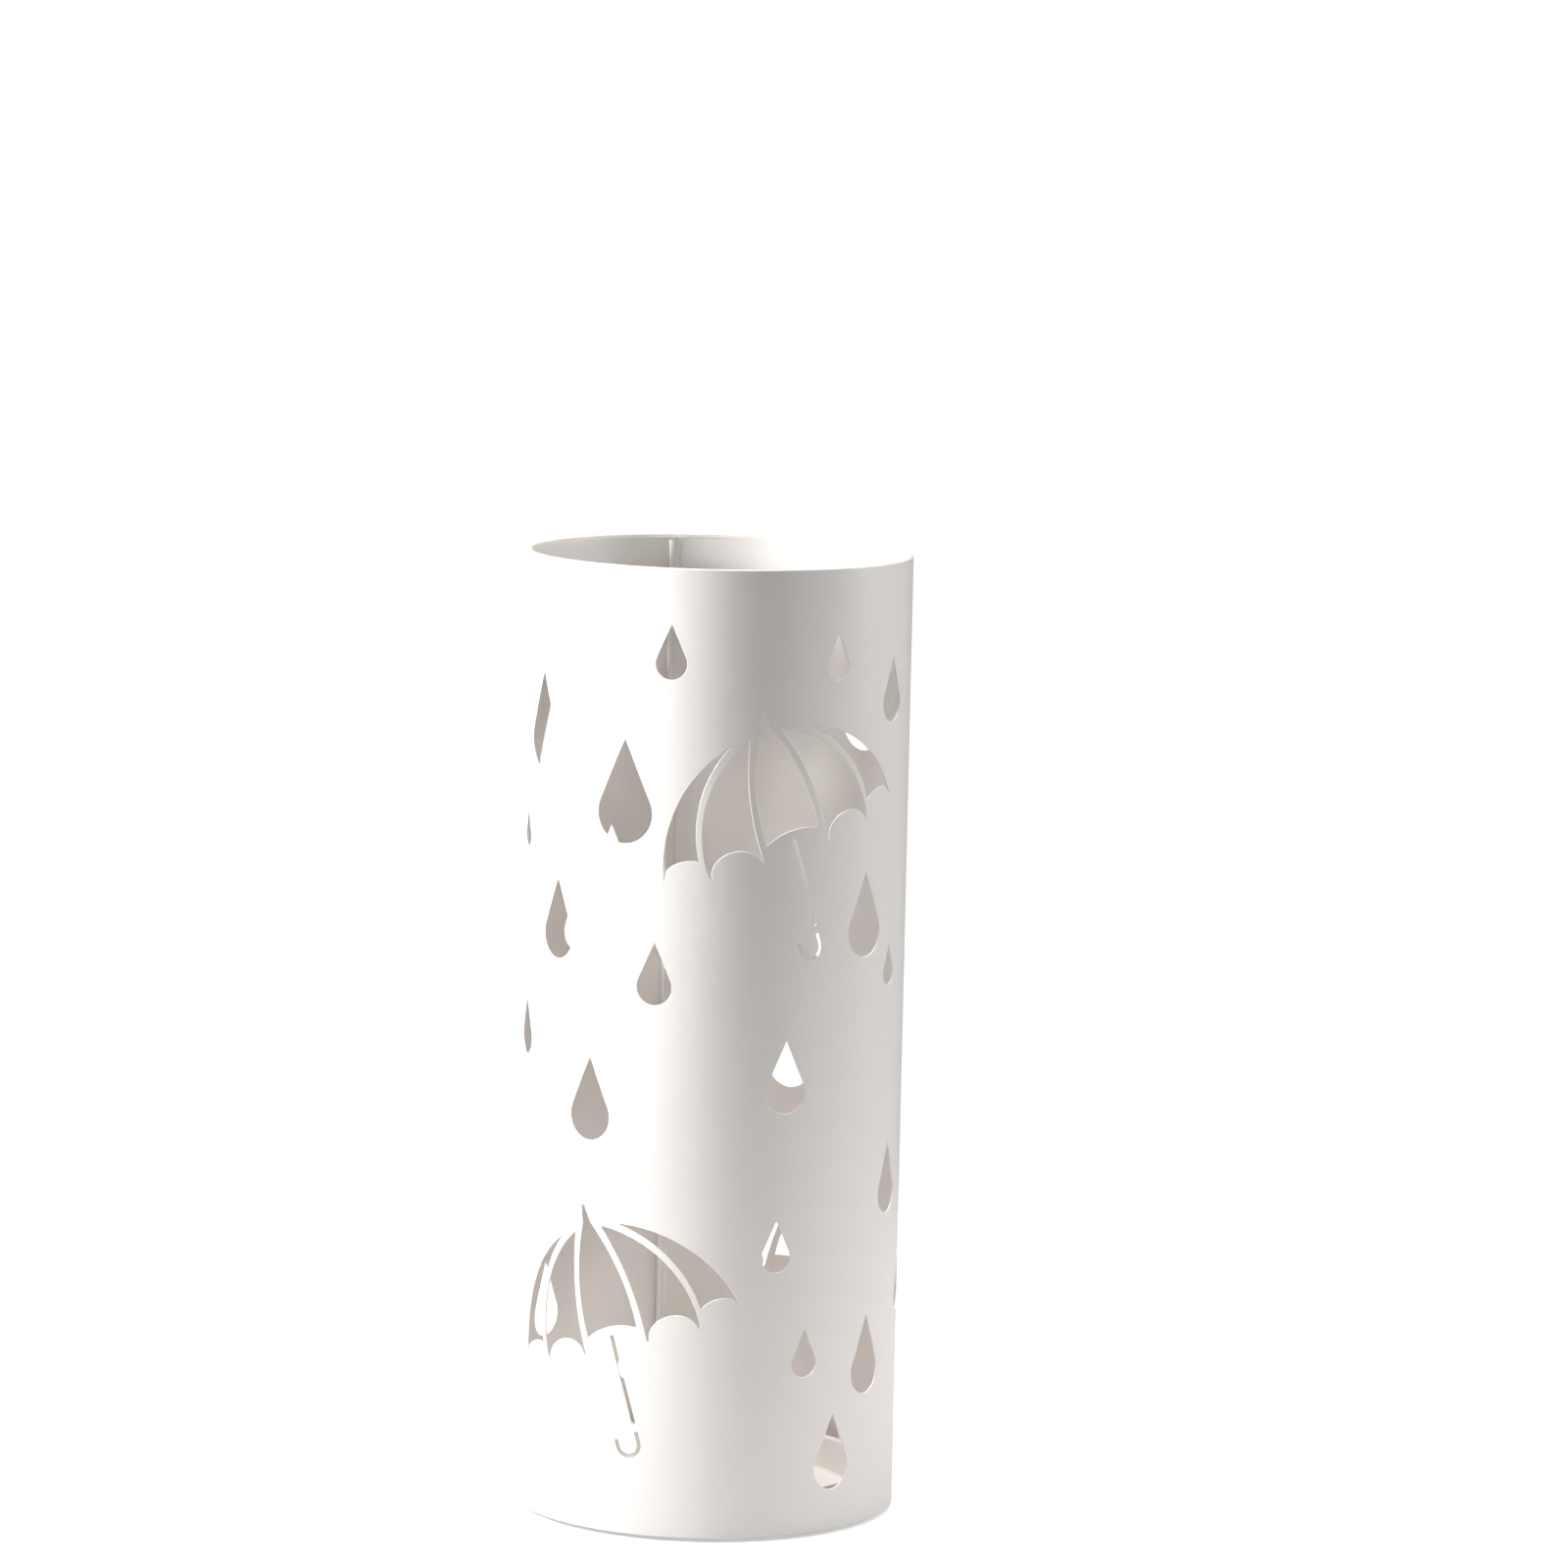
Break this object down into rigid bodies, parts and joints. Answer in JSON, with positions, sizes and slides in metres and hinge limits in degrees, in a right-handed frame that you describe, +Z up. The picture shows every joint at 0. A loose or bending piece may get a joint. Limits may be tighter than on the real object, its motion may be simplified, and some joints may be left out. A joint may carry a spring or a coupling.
{
  "type": "umbrella stand",
  "caption": "round sheet-steel umbrella stand, a tall tube pierced with raindrops and umbrellas, with a lift-out drip tray and inner hooks",
  "frame": {"origin": "the middle of the footprint, on the surface the stand rests on", "axes": "+Z up along the tube, -Y the front, +X to the right of someone who faces the front; the lap seam runs down the back at +Y"},
  "size_m": [0.195, 0.195, 0.49],
  "materials": {
    "white_powder_coat": "satin white powder coat on sheet steel",
    "tray_plastic": "moulded white polypropylene, fine matt grain",
    "pad_rubber": "dark grey anti-slip foam rubber"
  },
  "bodies": {
    "stand": {"shell": "white_powder_coat", "floor_dish": "white_powder_coat", "hook_1": "white_powder_coat", "hook_2": "white_powder_coat", "hook_3": "white_powder_coat", "hook_4": "white_powder_coat", "foot_1": "pad_rubber", "foot_2": "pad_rubber", "foot_3": "pad_rubber", "foot_4": "pad_rubber"},
    "tray": {"drip_tray": "tray_plastic"}
  },
  "joints": [
    {"name": "tray_lift", "type": "slide", "parent": "stand", "child": "tray", "axis": [0, 0, 1], "range_m": [0, 0.5]}
  ]
}
